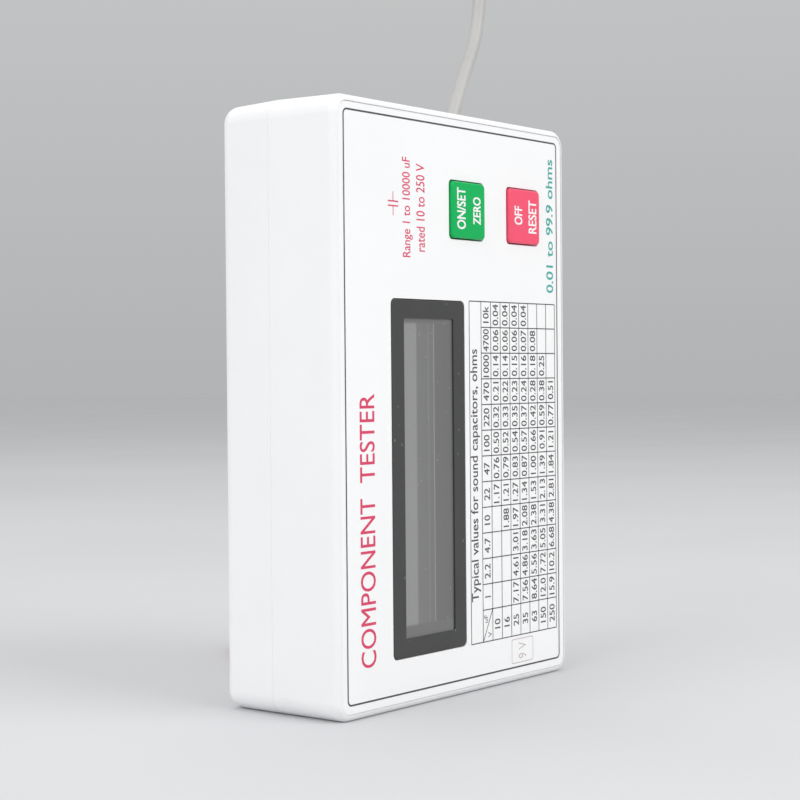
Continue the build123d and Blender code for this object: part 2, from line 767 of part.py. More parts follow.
splitter_length = 8.0
splitter_heading = Vector(-0.97, 0.24, 0).normalized()
splitter_start = Vector(36.5, 66.0, lead_z)
splitter_plane = Plane(origin=splitter_start, x_dir=splitter_heading.cross(Vector(0, 0, 1)), z_dir=splitter_heading)
with BuildPart() as lead_splitter:
    with BuildSketch(splitter_plane):
        RectangleRounded(4.6, 4.0, 1.5)
    with BuildSketch(splitter_plane.offset(splitter_length)):
        RectangleRounded(6.2, 3.4, 1.2)
    loft()
save(lead_splitter, "lead_splitter")

thin_z = floor_gap + thin_lead_diameter / 2
splitter_end = splitter_start + splitter_heading * splitter_length
splitter_side = Vector(-splitter_heading.Y, splitter_heading.X, 0)
lead_ends = {
    "red": splitter_end - splitter_side * 1.3,
    "black": splitter_end + splitter_side * 1.3,
}
thin_points = {
    "red": [(21.2, 68.2), (14.6, 62.9), (9.4, 56.6), (7.2, 52.0), (7.0, 47.6)],
    "black": [(22.2, 65.2), (16.6, 60.6), (12.2, 55.6), (10.0, 51.6), (9.8, 47.6)],
}
for colour, end in lead_ends.items():
    points = [(end.X, end.Y, lead_z)] + [(x, y, lead_z) for x, y in thin_points[colour]]
    tube(points, thin_lead_diameter, f"{colour}_lead")

# ---------------------------------------------------------------- crocodile clips, lying on their sides
clip_tip = 15.0
clip_tail = 13.0
clip_width = 4.4
clip_low_z = 0.3
sheet = 0.6


def clip_plane(colour, z):
    """A level plane at height z whose x runs from the clip's pivot to its tip, which points at the case."""
    return Plane(origin=(clip_x[colour], clip_pivot_y, z), x_dir=(0, -1, 0), z_dir=(0, 0, 1))


def jaw(colour, side, low_z, high_z, label):
    """One jaw: a back strip that runs from tail to tip, and two cheeks with the teeth and the pivot ears."""
    with BuildPart() as half:
        with BuildSketch(clip_plane(colour, low_z)):
            with BuildLine():
                Polyline(
                    (-clip_tail, side * 4.6),
                    (0, side * 3.0),
                    (6, side * 2.9),
                    (clip_tip, side * 1.2),
                    (clip_tip, side * 0.6),
                    (6, side * 2.2),
                    (0, side * 2.3),
                    (-clip_tail, side * 3.9),
                    close=True,
                )
            make_face()
        extrude(amount=high_z - low_z)
        tooth = [(4.0 + i * 1.1, side * (0.1 + 0.5 * (i % 2))) for i in range(11)]
        for level in (low_z, high_z - sheet):
            with BuildSketch(clip_plane(colour, level)):
                with BuildLine():
                    Polyline(
                        (-clip_tail + 1.0, side * 4.2),
                        (-clip_tail + 1.0, side * 3.5),
                        (-2.2, side * 1.0),
                        (3.2, side * 1.0),
                        *tooth,
                        (clip_tip, side * 1.0),
                        (6, side * 2.7),
                        (0, side * 2.8),
                        close=True,
                    )
                make_face()
                Circle(1.9)
                Circle(0.75, mode=Mode.SUBTRACT)
            extrude(amount=sheet)
    save(half, label)
    return half


for colour, side in clip_moving_side.items():
    # The clip's own x axis points at the case, so its y axis points to +X.
    top_z = clip_low_z + clip_width
    fixed = jaw(colour, -side, clip_low_z, top_z, f"{colour}_clip_fixed_jaw")
    moving = jaw(colour, side, clip_low_z + 0.7, top_z - 0.7, f"{colour}_clip_moving_jaw")
    with BuildPart() as pin:
        with BuildSketch(clip_plane(colour, clip_low_z - 0.3)):
            Circle(1.3)
        extrude(amount=0.3)
        with BuildSketch(clip_plane(colour, clip_low_z)):
            Circle(0.7)
        extrude(amount=clip_width)
        with BuildSketch(clip_plane(colour, top_z)):
            Circle(1.3)
        extrude(amount=0.3)
    save(pin, f"{colour}_clip_pin")
    with BuildPart() as spring:
        with BuildSketch(clip_plane(colour, clip_low_z + 1.5)):
            Circle(1.45)
            Circle(0.85, mode=Mode.SUBTRACT)
        extrude(amount=clip_width - 3.0)
    save(spring, f"{colour}_clip_spring")
    with BuildPart() as sleeve:
        with BuildSketch(clip_plane(colour, 0.0)):
            with BuildLine():
                Polyline(
                    (-clip_tail - 1.2, -side * 5.0),
                    (-clip_tail - 1.2, -side * 3.2),
                    (-4.0, -side * 1.9),
                    (-4.0, -side * 3.95),
                    close=True,
                )
            make_face()
        extrude(amount=clip_width + 0.6)
        fillet(sleeve.edges().filter_by(Axis.Z), 0.3)
        add(fixed.part, mode=Mode.SUBTRACT)
    save(sleeve, f"{colour}_clip_sleeve")

print("solid pieces written:", len([name for name in os.listdir("parts") if name.endswith(".step")]))
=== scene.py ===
"""The looks of the component tester: print, display, keys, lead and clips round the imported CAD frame.

Everything is in metres in the frame of the CAD: +Z up, the front panel faces -Y and +X is to the
viewer's right. Sizes below that are named in millimetres are turned into metres with MM.
"""

import json
from math import cos, pi, radians, sin

import bpy
from mathutils import Matrix, Vector


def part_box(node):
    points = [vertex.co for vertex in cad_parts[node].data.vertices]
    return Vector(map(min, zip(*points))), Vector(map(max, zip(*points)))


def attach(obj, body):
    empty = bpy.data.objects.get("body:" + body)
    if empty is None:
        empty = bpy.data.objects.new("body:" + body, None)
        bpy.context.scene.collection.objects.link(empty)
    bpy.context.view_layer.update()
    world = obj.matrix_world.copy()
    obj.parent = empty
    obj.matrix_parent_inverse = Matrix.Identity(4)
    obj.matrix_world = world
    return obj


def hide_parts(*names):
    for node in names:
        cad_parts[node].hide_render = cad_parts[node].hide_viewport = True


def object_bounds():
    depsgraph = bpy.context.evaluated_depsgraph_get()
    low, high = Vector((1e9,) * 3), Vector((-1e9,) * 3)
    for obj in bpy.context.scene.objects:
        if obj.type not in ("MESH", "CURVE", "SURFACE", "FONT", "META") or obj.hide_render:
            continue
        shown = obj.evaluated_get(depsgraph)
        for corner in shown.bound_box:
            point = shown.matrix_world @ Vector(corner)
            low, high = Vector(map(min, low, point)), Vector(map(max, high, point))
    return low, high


MM = 0.001
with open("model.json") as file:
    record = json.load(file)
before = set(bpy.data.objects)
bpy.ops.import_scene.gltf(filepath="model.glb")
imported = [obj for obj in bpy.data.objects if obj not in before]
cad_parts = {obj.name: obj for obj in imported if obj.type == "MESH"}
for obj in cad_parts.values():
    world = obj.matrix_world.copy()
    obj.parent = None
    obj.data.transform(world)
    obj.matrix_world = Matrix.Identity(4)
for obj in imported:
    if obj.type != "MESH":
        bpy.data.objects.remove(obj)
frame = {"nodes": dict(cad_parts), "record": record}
cad_low, cad_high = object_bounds()
scene = bpy.context.scene


def link(name, data):
    """A new object with that data, linked to the scene."""
    piece = bpy.data.objects.new(name, data)
    scene.collection.objects.link(piece)
    return piece


def mesh_piece(name, vertices, faces, material):
    """A new mesh object from plain lists."""
    data = bpy.data.meshes.new(name)
    data.from_pydata(vertices, [], faces)
    data.materials.append(material)
    return link(name, data)


# ---------------------------------------------------------------- camera
SENSOR = 36.0
FOCAL_LENGTH = 81.61
CAMERA_PLACE = Vector((-301.27, -234.99, 66.63)) * MM
CAMERA_YAW = radians(51.92)
CAMERA_PITCH = radians(-0.87)
CAMERA_ROLL = radians(-0.48)
CLIP_RANGE = (0.01, 50.0)

camera = link("camera", bpy.data.cameras.new("camera"))
camera.data.sensor_width = SENSOR
camera.data.lens = FOCAL_LENGTH
camera.data.clip_start, camera.data.clip_end = CLIP_RANGE
forward = Vector(
    (sin(CAMERA_YAW) * cos(CAMERA_PITCH), cos(CAMERA_YAW) * cos(CAMERA_PITCH), sin(CAMERA_PITCH))
)
level_right = Vector((cos(CAMERA_YAW), -sin(CAMERA_YAW), 0.0))
level_up = level_right.cross(forward)
right = cos(CAMERA_ROLL) * level_right + sin(CAMERA_ROLL) * level_up
up = cos(CAMERA_ROLL) * level_up - sin(CAMERA_ROLL) * level_right
turned = Matrix((right, up, -forward)).transposed().to_4x4()
camera.matrix_world = Matrix.Translation(CAMERA_PLACE) @ turned
scene.camera = camera


# ---------------------------------------------------------------- materials
def linear(red, green, blue):
    """A screen colour, 0 to 255 a channel, as the linear colour that shaders take."""
    shares = [value / 255 for value in (red, green, blue)]
    return [s / 12.92 if s <= 0.04045 else ((s + 0.055) / 1.055) ** 2.4 for s in shares] + [1.0]


def grey(value):
    """A grey of that screen value."""
    return linear(value, value, value)


class Shader:
    """One material's node tree, with short ways to add the nodes used here."""

    def __init__(self, name):
        self.material = bpy.data.materials.new(name)
        self.material.use_nodes = True
        self.nodes = self.material.node_tree.nodes
        self.links = self.material.node_tree.links
        self.surface = self.nodes["Principled BSDF"]
        self.place = self.nodes.new("ShaderNodeTexCoord").outputs["Object"]

    def stretched(self, scale):
        """The place, scaled unevenly."""
        mapping = self.nodes.new("ShaderNodeMapping")
        mapping.inputs["Scale"].default_value = scale
        self.links.new(self.place, mapping.inputs["Vector"])
        return mapping.outputs["Vector"]

    def axis(self, name):
        """One coordinate of the place, in metres."""
        split = self.nodes.new("ShaderNodeSeparateXYZ")
        self.links.new(self.place, split.inputs["Vector"])
        return split.outputs[name]

    def noise(self, scale, detail=3.0, place=None):
        """Cloudy noise from 0 to 1, with so many clouds in a metre."""
        noise = self.nodes.new("ShaderNodeTexNoise")
        noise.inputs["Scale"].default_value = scale
        noise.inputs["Detail"].default_value = detail
        self.links.new(place or self.place, noise.inputs["Vector"])
        return noise.outputs["Fac"]

    def specks(self, scale, radius):
        """1 inside small scattered specks and 0 elsewhere."""
        cells = self.nodes.new("ShaderNodeTexVoronoi")
        cells.inputs["Scale"].default_value = scale
        self.links.new(self.place, cells.inputs["Vector"])
        return self.ranged(cells.outputs["Distance"], 0.0, radius, 1.0, 0.0)

    def ranged(self, value, from_low, from_high, to_low, to_high):
        """A value carried from one range to another, and held at its ends."""
        change = self.nodes.new("ShaderNodeMapRange")
        for socket, number in zip(
            ("From Min", "From Max", "To Min", "To Max"), (from_low, from_high, to_low, to_high)
        ):
            change.inputs[socket].default_value = number
        self.links.new(value, change.inputs["Value"])
        return change.outputs["Result"]

    def ramp(self, value, stops, kind="LINEAR"):
        """A colour from stops, a list of (place from 0 to 1, colour)."""
        ramp = self.nodes.new("ShaderNodeValToRGB")
        ramp.color_ramp.interpolation = kind
        while len(ramp.color_ramp.elements) < len(stops):
            ramp.color_ramp.elements.new(1.0)
        for element, (place, colour) in zip(ramp.color_ramp.elements, stops):
            element.position = place
            element.color = colour
        self.links.new(value, ramp.inputs["Fac"])
        return ramp.outputs["Color"]

    def mixed(self, share, first, second):
        """first where share is 0 and second where it is 1; each is a colour or a socket."""
        mix = self.nodes.new("ShaderNodeMix")
        mix.data_type = "RGBA"
        self.links.new(share, mix.inputs["Factor"])
        for socket, colour in ((mix.inputs[6], first), (mix.inputs[7], second)):
            if isinstance(colour, bpy.types.NodeSocket):
                self.links.new(colour, socket)
            else:
                socket.default_value = colour
        return mix.outputs[2]

    def colour(self, socket):
        """The surface's colour from a socket."""
        self.links.new(socket, self.surface.inputs["Base Color"])

    def roughness(self, value, low, high):
        """The surface's roughness, from low to high as a noise goes from 0.3 to 0.7."""
        self.links.new(self.ranged(value, 0.3, 0.7, low, high), self.surface.inputs["Roughness"])

    def bump(self, height, depth):
        """Relief of that depth on the surface."""
        bump = self.nodes.new("ShaderNodeBump")
        bump.inputs["Distance"].default_value = depth
        self.links.new(height, bump.inputs["Height"])
        self.links.new(bump.outputs["Normal"], self.surface.inputs["Normal"])

    def set(self, **values):
        """Plain numbers and colours on the shader's own sockets."""
        for name, value in values.items():
            socket = name.replace("_", " ").title().replace("Ior", "IOR")
            self.surface.inputs[socket].default_value = value


def shade(colour, factor):
    """A colour made lighter or darker."""
    return [min(1.0, channel * factor) for channel in colour[:3]] + [1.0]


def moulded(name, colour, rough, mottle=0.03, grain_scale=1800.0, grain_depth=0.01 * MM, specular=0.5):
    """Moulded plastic or rubber: fine grain, slightly uneven colour and gloss."""
    shader = Shader(name)
    cloud = shader.noise(45.0, 5.0)
    grain = shader.noise(grain_scale, 2.0)
    tones = [(0.3, shade(colour, 1 - mottle)), (0.7, shade(colour, 1 + mottle))]
    shader.colour(shader.ramp(cloud, tones))
    shader.roughness(shader.noise(140.0, 4.0), rough - 0.05, rough + 0.07)
    shader.bump(grain, grain_depth)
    shader.set(specular_ior_level=specular)
    return shader.material


def metal(name, colour, rough, brush=(40.0, 40.0, 2500.0)):
    """Plated sheet metal with faint brushing and dull spots."""
    shader = Shader(name)
    lines = shader.noise(1.0, 4.0, shader.stretched(brush))
    spots = shader.noise(300.0, 6.0)
    shader.colour(shader.ramp(spots, [(0.35, shade(colour, 0.82)), (0.65, shade(colour, 1.05))]))
    shader.roughness(lines, rough - 0.08, rough + 0.12)
    shader.bump(lines, 0.006 * MM)
    shader.set(metallic=1.0)
    return shader.material


def ink(name, colour):
    """Screen-printed ink: nearly flat, with a slightly uneven film."""
    shader = Shader(name)
    film = shader.noise(2200.0, 3.0)
    shader.colour(shader.ramp(film, [(0.3, shade(colour, 0.93)), (0.75, shade(colour, 1.12))]))
    shader.roughness(shader.noise(500.0, 2.0), 0.45, 0.6)
    shader.bump(film, 0.003 * MM)
    return shader.material


def bezel_finish():
    """Satin dark grey paint with dust specks."""
    shader = Shader("bezel_black")
    paint = grey(60)
    tones = shader.ramp(shader.noise(60.0, 5.0), [(0.3, shade(paint, 0.94)), (0.7, shade(paint, 1.06))])
    dust = shader.specks(330.0, 0.12)
    shader.colour(shader.mixed(dust, tones, grey(120)))
    shader.roughness(shader.noise(200.0), 0.42, 0.55)
    shader.bump(shader.noise(2600.0, 2.0), 0.008 * MM)
    return shader.material


# The display's painted reflections, as greys from its left edge, as (share of the width, screen grey).
DISPLAY_REFLECTION_BANDS = [
    (0.0, 132),
    (0.14, 146),
    (0.31, 144),
    (0.33, 122),
    (0.492, 119),
    (0.502, 132),
    (0.517, 119),
    (0.58, 117),
    (0.59, 152),
    (0.602, 111),
    (0.75, 109),
    (1.0, 107),
]
DISPLAY_END_GREY = 114
# How far the display's plain ends, where the painted reflection bands stop, reach in from its low and its
# high end, and how softly they start.
END_STRIPS = (4.4 * MM, 2.9 * MM)
END_FADE = 0.5 * MM


def painted_reflection_display():
    """The unpowered display with painted reflections: lengthwise bands of slightly different grey and a
    thin bright line.
    """
    shader = Shader("polarizer_grey")
    low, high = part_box("lcd_polarizer")
    across = shader.ranged(shader.axis("X"), low.x, high.x, 0.0, 1.0)
    wander = shader.ranged(shader.noise(9.0, 2.0), 0.0, 1.0, -0.006, 0.006)
    add = shader.nodes.new("ShaderNodeMath")
    add.operation = "ADD"
    shader.links.new(across, add.inputs[0])
    shader.links.new(wander, add.inputs[1])
    # Painted reflections: a lighter band near the left edge, thin bright lines, and greys that darken to
    # the right.
    bands = [(place, grey(value)) for place, value in DISPLAY_REFLECTION_BANDS]
    along = shader.axis("Z")
    past_low = shader.ranged(along, low.z + END_STRIPS[0], low.z + END_STRIPS[0] + END_FADE, 1.0, 0.0)
    past_high = shader.ranged(along, high.z - END_STRIPS[1] - END_FADE, high.z - END_STRIPS[1], 0.0, 1.0)
    ends = shader.nodes.new("ShaderNodeMath")
    ends.operation = "MAXIMUM"
    shader.links.new(past_low, ends.inputs[0])
    shader.links.new(past_high, ends.inputs[1])
    tones = shader.mixed(ends.outputs[0], shader.ramp(add.outputs[0], bands), grey(DISPLAY_END_GREY))
    dust = shader.specks(420.0, 0.11)
    shader.colour(shader.mixed(dust, tones, grey(160)))
    shader.roughness(shader.noise(150.0), 0.3, 0.42)
    shader.bump(shader.noise(700.0, 2.0), 0.002 * MM)
    return shader.material


def board_finish():
    """Solder mask over copper tracks, in two greens."""
    shader = Shader("board_green")
    tracks = shader.nodes.new("ShaderNodeTexBrick")
    tracks.inputs["Scale"].default_value = 90.0
    tracks.inputs["Mortar Size"].default_value = 0.03
    tracks.inputs["Color1"].default_value = linear(8, 74, 38)
    tracks.inputs["Color2"].default_value = linear(10, 84, 44)
    tracks.inputs["Mortar"].default_value = linear(38, 120, 66)
    shader.links.new(shader.place, tracks.inputs["Vector"])
    shader.colour(tracks.outputs["Color"])
    shader.roughness(shader.noise(300.0), 0.28, 0.4)
    shader.bump(tracks.outputs["Fac"], 0.03 * MM)
    return shader.material


def battery_finish():
    """A printed metal jacket in two plain colours."""
    shader = Shader("battery_jacket")
    low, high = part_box("battery")
    share = shader.ranged(shader.axis("Z"), low.z, high.z, 0.0, 1.0)
    bands = [(0.0, linear(24, 26, 34)), (0.7, linear(196, 140, 60))]
    shader.colour(shader.ramp(share, bands, "CONSTANT"))
    shader.roughness(shader.noise(200.0), 0.25, 0.4)
    shader.bump(shader.noise(1500.0, 2.0), 0.006 * MM)
    shader.set(metallic=0.4)
    return shader.material


def tape_finish():
    """Hook-and-loop tape: a fuzzy, ribbed black weave."""
    shader = Shader("tie_black")
    loops = shader.noise(2600.0, 6.0)
    shader.colour(shader.ramp(loops, [(0.3, linear(14, 14, 15)), (0.75, linear(52, 52, 54))]))
    shader.roughness(loops, 0.8, 0.95)
    shader.bump(loops, 0.25 * MM)
    shader.set(sheen_weight=0.5)
    return shader.material


def lead_finish():
    """The flexible sleeve of the lead: pale grey, softly uneven, with faint handling marks."""
    shader = Shader("lead_grey")
    grime = shader.noise(120.0, 6.0)
    tones = [(0.25, linear(172, 171, 169)), (0.5, linear(180, 179, 177)), (0.8, linear(186, 185, 184))]
    shader.colour(shader.ramp(grime, tones))
    shader.roughness(shader.noise(260.0), 0.38, 0.52)
    shader.bump(shader.noise(900.0, 3.0), 0.02 * MM)
    return shader.material


def glass_finish():
    """The display's glass, seen only at its edges."""
    shader = Shader("display_glass")
    tones = [(0.3, linear(150, 160, 152)), (0.7, linear(166, 174, 168))]
    shader.colour(shader.ramp(shader.noise(90.0), tones))
    shader.roughness(shader.noise(200.0), 0.05, 0.12)
    shader.set(transmission_weight=0.8)
    return shader.material


finishes = {
    "case_white": moulded("case_white", linear(241, 241, 242), 0.42, 0.012, 1600.0, 0.012 * MM),
    "overlay_white": moulded("overlay_white", grey(250), 0.46, 0.01, 2400.0, 0.005 * MM),
    "key_green": moulded("key_green", linear(0, 178, 90), 0.3, 0.05, 1500.0, 0.006 * MM, specular=0.25),
    "key_red": moulded("key_red", linear(250, 88, 118), 0.3, 0.05, 1500.0, 0.006 * MM, specular=0.25),
    "bezel_black": bezel_finish(),
    "display_glass": glass_finish(),
    "polarizer_grey": painted_reflection_display(),
    "white_plastic": moulded("white_plastic", linear(225, 225, 218), 0.5),
    "rubber_pink": moulded("rubber_pink", linear(205, 150, 150), 0.7),
    "board_green": board_finish(),
    "black_epoxy": moulded("black_epoxy", linear(34, 34, 35), 0.55, 0.1),
    "black_plastic": moulded("black_plastic", linear(38, 38, 39), 0.45, 0.08),
    "steel": metal("steel", linear(196, 196, 192), 0.32),
    "case_screw_steel": metal("case_screw_steel", linear(178, 180, 184), 0.36, (900.0, 900.0, 900.0)),
    "capacitor_sleeve": moulded("capacitor_sleeve", linear(30, 44, 96), 0.3, 0.08),
    "film_cap_red": moulded("film_cap_red", linear(160, 52, 30), 0.25, 0.08),
    "resistor_body": moulded("resistor_body", linear(120, 168, 196), 0.35, 0.08),
    "trimmer_blue": moulded("trimmer_blue", linear(34, 80, 168), 0.4, 0.05),
    "trimmer_white": moulded("trimmer_white", linear(226, 224, 212), 0.45),
    "battery_jacket": battery_finish(),
    "foam_grey": moulded("foam_grey", linear(70, 70, 72), 0.95, 0.15, 900.0, 0.4 * MM),
    "lead_grey": lead_finish(),
    "rubber_grey": moulded("rubber_grey", linear(198, 197, 192), 0.6, 0.05, 900.0, 0.02 * MM),
    "tie_black": tape_finish(),
    "lead_red": moulded("lead_red", linear(196, 32, 28), 0.4, 0.08, 900.0, 0.015 * MM),
    "lead_black": moulded("lead_black", linear(30, 30, 31), 0.4, 0.1, 900.0, 0.015 * MM),
}
inks = {
    "grey": ink("ink_grey", linear(74, 74, 78)),
    "rose": ink("ink_rose", linear(220, 60, 102)),
    "teal": ink("ink_teal", linear(60, 170, 160)),
    "pale": ink("ink_pale", linear(206, 190, 194)),
    "white": ink("ink_white", grey(250)),
}

for part in frame["record"]["subparts"]:
    node = frame["nodes"][part["node"]]
    node.data.materials.clear()
    node.data.materials.append(finishes[part["material_slot"]])


# ---------------------------------------------------------------- lead, coil and thin leads
LEAD_DIAMETER = 3.0 * MM
THIN_DIAMETER = 1.8 * MM
LEAD_HEIGHT = 2.1 * MM
EXIT_HEIGHT = 121.5 * MM
COIL_CENTRE = Vector((41.0, 44.0, 0.0)) * MM
CORD_ORDER = 3
CORD_STEPS = 10
CORD_FACETS = 6
gland_low, gland_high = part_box("cable_gland")
gland_middle = (gland_low + gland_high) / 2

# The route from the case, over the arch and down to the coil, in millimetres.
ROUTE = [
    (24.0, 2.0, 130.5),
    (30.7, 2.0, 142.5),
    (33.3, 2.9, 161.0),
    (44.0, 10.9, 176.2),
    (58.6, 21.4, 175.5),
    (66.4, 26.8, 161.2),
    (62.8, 26.1, 146.2),
    (53.2, 25.9, 130.5),
    (48.1, 25.2, 114.0),
    (46.4, 22.6, 92.0),
    (46.2, 20.0, 66.0),
    (46.2, 17.8, 42.0),
    (46.5, 17.1, 25.5),
    (48.1, 19.4, 13.0),
    (51.3, 25.0, 5.0),
    (55.4, 31.9, 2.1),
]
TAIL = [(52.1, 58.2, 5.2), (48.5, 62.5, 4.8), (42.9, 65.5, 2.9), (36.5, 66.0, 2.1)]

# The coil's turns, one row a crossover: the angle at which it starts, in degrees, and the radius and the
# height that the cord has moved to after it, in millimetres. The third climbs onto the lower layer.
TURN_STEP = 22.5
FIRST_ANGLE = -7.5
LAST_ANGLE = 1477.5
CROSSOVER = 90.0
FIRST_PLACE = (18.5, 2.1)
CROSSOVERS = [
    (240.0, [(17.75, 2.1), (17.0, 2.1), (16.25, 2.1), (15.5, 2.1)]),
    (600.0, [(14.75, 2.1), (14.0, 2.1), (13.25, 2.1), (12.5, 2.1)]),
    (960.0, [(12.0, 3.3), (12.1, 4.5), (12.7, 5.1), (14.0, 4.75)]),
    (1320.0, [(14.75, 4.75), (15.5, 4.75), (16.25, 4.75), (17.0, 4.75)]),
]


def turn_place(angle):
    """The radius and height of the coil's cord at an angle."""
    place = FIRST_PLACE
    for start, steps in CROSSOVERS:
        passed = int(round((angle - start) / CROSSOVER * len(steps)))
        if passed > 0:
            place = steps[min(passed, len(steps)) - 1]
    return place


def coil_points():
    """The control points of the coil's turns. The spline runs inside them, so they stand out a little."""
    points = []
    outset = 1 / cos(radians(TURN_STEP / 2))
    for step in range(int((LAST_ANGLE - FIRST_ANGLE) / TURN_STEP) + 1):
        angle = FIRST_ANGLE + step * TURN_STEP
        radius, height = turn_place(angle)
        reach = radius * outset * MM
        points.append(
            COIL_CENTRE + Vector((reach * cos(radians(angle)), reach * sin(radians(angle)), height * MM))
        )
    return points


def cord(name, points, diameter, material):
    """A cord along one NURBS spline."""
    curve = bpy.data.curves.new(name, "CURVE")
    curve.dimensions = "3D"
    spline = curve.splines.new("NURBS")
    spline.points.add(len(points) - 1)
    for control, point in zip(spline.points, points):
        control.co = (*point, 1.0)
    spline.order_u = CORD_ORDER
    spline.use_endpoint_u = True
    curve.resolution_u = CORD_STEPS
    curve.bevel_depth = diameter / 2
    curve.bevel_resolution = CORD_FACETS
    curve.use_fill_caps = True
    curve.materials.append(material)
    return link(name, curve)


exit_point = Vector((gland_middle.x, gland_middle.y, cad_low.z + EXIT_HEIGHT))
lead_points = (
    [exit_point]
    + [Vector(point) * MM for point in ROUTE]
    + coil_points()
    + [Vector(point) * MM for point in TAIL]
)
lead = cord("lead_cord", lead_points, LEAD_DIAMETER, finishes["lead_grey"])
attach(lead, "tester")
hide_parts("test_lead", "test_lead_coil", "test_lead_tail")

SPLITTER_LENGTH = 8.0 * MM
THIN_OFFSET = 1.3 * MM
SPLITTER_HEADING = (-0.97, 0.24, 0.0)
splitter_heading = Vector(SPLITTER_HEADING).normalized()
splitter_side = Vector((-splitter_heading.y, splitter_heading.x, 0.0))
splitter_start = Vector(TAIL[-1]) * MM
splitter_end = splitter_start + splitter_heading * SPLITTER_LENGTH
THIN_ROUTES = {
    "red": (-1, [(21.2, 68.2), (14.6, 62.9), (9.4, 56.6), (7.2, 52.0), (7.0, 47.6)]),
    "black": (1, [(22.2, 65.2), (16.6, 60.6), (12.2, 55.6), (10.0, 51.6), (9.8, 47.6)]),
}
for colour, (side, route) in THIN_ROUTES.items():
    start = splitter_end + splitter_side * THIN_OFFSET * side
    points = [start] + [Vector((x * MM, y * MM, LEAD_HEIGHT)) for x, y in route]
    thin = cord(f"{colour}_cord", points, THIN_DIAMETER, finishes[f"lead_{colour}"])
    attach(thin, "tester")
    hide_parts(f"{colour}_lead")

# ---------------------------------------------------------------- the tie round the coil
TIE_ANGLE = radians(150.0)
TIE_WIDTH = 6.0 * MM
TIE_THICKNESS = 0.45 * MM
TIE_GAP = 0.04 * MM
TIE_STRANDS = [(12.5, 2.1), (15.5, 2.1), (18.5, 2.1), (14.0, 4.75)]
TIE_STEPS = 64
TIE_SLICES = 6
TIE_RADIUS = 15.5 * MM


def hull_point(turn, offset):
    """Where a strap at that distance round the strands has its outline's normal at that angle."""
    normal = Vector((cos(turn), sin(turn)))
    strand = max((Vector(place) * MM for place in TIE_STRANDS), key=lambda place: place.dot(normal))
    return strand + normal * offset


tie_vertices = []
tie_faces = []
for slice_index in range(TIE_SLICES + 1):
    along = (slice_index / TIE_SLICES - 0.5) * TIE_WIDTH / TIE_RADIUS
    radial = Vector((cos(TIE_ANGLE + along), sin(TIE_ANGLE + along), 0.0))
    for offset in (LEAD_DIAMETER / 2 + TIE_GAP, LEAD_DIAMETER / 2 + TIE_GAP + TIE_THICKNESS):
        for step in range(TIE_STEPS):
            reach, height = hull_point(2 * pi * step / TIE_STEPS, offset)
            tie_vertices.append(COIL_CENTRE + radial * reach + Vector((0.0, 0.0, height)))
ring = 2 * TIE_STEPS
for step in range(TIE_STEPS):
    after = (step + 1) % TIE_STEPS
    for slice_index in range(TIE_SLICES):
        base = slice_index * ring
        tie_faces.append((base + after, base + step, base + ring + step, base + ring + after))
        base += TIE_STEPS
        tie_faces.append((base + step, base + after, base + ring + after, base + ring + step))
    last = TIE_SLICES * ring
    tie_faces.append((step, after, TIE_STEPS + after, TIE_STEPS + step))
    tie_faces.append((last + after, last + step, last + TIE_STEPS + step, last + TIE_STEPS + after))
tie = mesh_piece("coil_tie", tie_vertices, tie_faces, finishes["tie_black"])
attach(tie, "tester")
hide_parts("lead_tie")

# ---------------------------------------------------------------- print on the front panel
overlay_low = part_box("front_overlay")[0]
INK_LIFT = 0.014 * MM
LAYER_STEP = 0.003 * MM
# The printed border's lower left corner is the origin of the panel's own millimetres.
BORDER_INSET = (1.51, 1.70)
BORDER_SIZE = (73.3, 113.65)
BORDER_RADIUS = 1.0
BORDER_LINE = 0.36
panel_x = overlay_low.x + BORDER_INSET[0] * MM
panel_z = overlay_low.z + BORDER_INSET[1] * MM


# The longest that a word set about its middle may be, so that it stays inside its cell of the table.
LONGEST_CENTRED = 4.7


